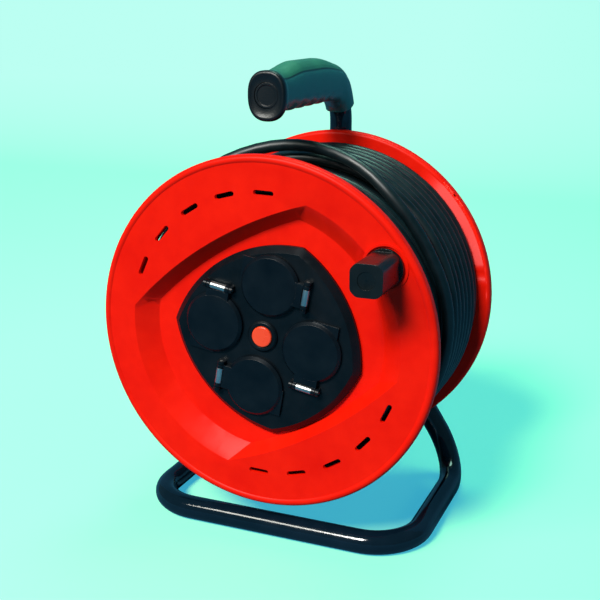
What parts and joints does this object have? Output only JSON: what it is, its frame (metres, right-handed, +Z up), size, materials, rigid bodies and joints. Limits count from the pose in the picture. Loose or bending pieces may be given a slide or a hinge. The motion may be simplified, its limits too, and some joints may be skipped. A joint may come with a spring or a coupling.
{
  "type": "extension cord reel",
  "caption": "Extension cord reel: a drum with lidded sockets, reset button and crank knob, wound with rubber cord, turning on a bent tube stand with a carrying grip.",
  "frame": {"origin": "on the floor, under the axle, midway between the knob's face and the back of the stand's hub", "axes": "+Z up; +Y along the axle, from the socket face to the stand's legs; +X to the right as seen from the socket face"},
  "size_m": [0.29, 0.246, 0.393],
  "materials": {
    "frame_paint": "gloss",
    "hub_plastic": "satin",
    "grip_plastic": "satin",
    "zinc_steel": "zinc plated",
    "drum_red": "semi-gloss moulded",
    "bush_brass": "plain",
    "socket_black": "fine satin",
    "carrier_grey": "plain",
    "contact_brass": "bright",
    "button_red": "gloss",
    "knob_black": "semi-gloss",
    "gland_black": "plain",
    "cord_rubber": "smooth matt rubber",
    "plug_rubber": "matt rubber",
    "pin_nickel": "nickel plated",
    "strip_nickel": "nickel plated"
  },
  "bodies": {
    "stand": {"base_tube": "frame_paint", "handle_tube": "frame_paint", "frame_hub": "hub_plastic", "hub_cover": "hub_plastic", "hub_screws": "zinc_steel", "handle_grip": "grip_plastic", "grip_plug": "grip_plastic", "axle": "zinc_steel", "axle_nut": "zinc_steel", "thrust_washer": "zinc_steel", "axle_washer": "zinc_steel", "axle_clip": "zinc_steel"},
    "drum": {"front_flange": "drum_red", "rear_flange": "drum_red", "drum_barrel": "drum_red", "tie_bolts": "zinc_steel", "bearing_bushes": "bush_brass", "socket_plate": "socket_black", "plate_screws": "zinc_steel", "socket_carrier": "carrier_grey", "carrier_screws": "zinc_steel", "line_contacts": "contact_brass", "neutral_contacts": "contact_brass", "earth_clips": "contact_brass", "hinge_pins": "zinc_steel", "lid_springs": "zinc_steel", "button_bezel": "socket_black", "button_spring": "zinc_steel", "thermal_cutout": "carrier_grey", "terminal_block": "carrier_grey", "cord_gland": "gland_black", "gland_nut": "gland_black", "cord_tail": "cord_rubber", "knob_spindle": "zinc_steel", "cord_core": "cord_rubber", "cord_winding": "cord_rubber", "plug_relief": "plug_rubber", "plug_body": "plug_rubber", "plug_pins": "pin_nickel", "plug_earth_strips": "strip_nickel"},
    "lid_1": {"lid_1": "socket_black"},
    "lid_2": {"lid_2": "socket_black"},
    "lid_3": {"lid_3": "socket_black"},
    "lid_4": {"lid_4": "socket_black"},
    "reset_button": {"reset_button": "button_red"},
    "crank_knob": {"crank_knob": "knob_black", "knob_cap": "knob_black"}
  },
  "joints": [
    {"name": "drum_spin", "type": "hinge", "parent": "stand", "child": "drum", "pos_m": [0, 0.01895, 0.182], "axis": [0, -1, 0], "continuous": true},
    {"name": "knob_spin", "type": "hinge", "parent": "drum", "child": "crank_knob", "pos_m": [0.10197, -0.10105, 0.24898], "axis": [0, -1, 0], "continuous": true},
    {"name": "lid_1_hinge", "type": "hinge", "parent": "drum", "child": "lid_1", "pos_m": [0.038, -0.07945, 0.21896], "axis": [0.1736, 0, 0.9848], "range_deg": [0, 105], "stiffness_Nm_per_rad": 0.01, "springref_deg": -28.65},
    {"name": "lid_2_hinge", "type": "hinge", "parent": "drum", "child": "lid_2", "pos_m": [-0.03696, -0.07945, 0.22], "axis": [-0.9848, 0, 0.1736], "range_deg": [0, 105], "stiffness_Nm_per_rad": 0.01, "springref_deg": -28.65},
    {"name": "lid_3_hinge", "type": "hinge", "parent": "drum", "child": "lid_3", "pos_m": [-0.038, -0.07945, 0.14504], "axis": [-0.1736, 0, -0.9848], "range_deg": [0, 105], "stiffness_Nm_per_rad": 0.01, "springref_deg": -28.65},
    {"name": "lid_4_hinge", "type": "hinge", "parent": "drum", "child": "lid_4", "pos_m": [0.03696, -0.07945, 0.144], "axis": [0.9848, 0, -0.1736], "range_deg": [0, 105], "stiffness_Nm_per_rad": 0.01, "springref_deg": -28.65},
    {"name": "reset_press", "type": "slide", "parent": "drum", "child": "reset_button", "axis": [0, 1, 0], "range_m": [0, 0.0025], "stiffness_N_per_m": 400, "springref_m": -0.004}
  ]
}
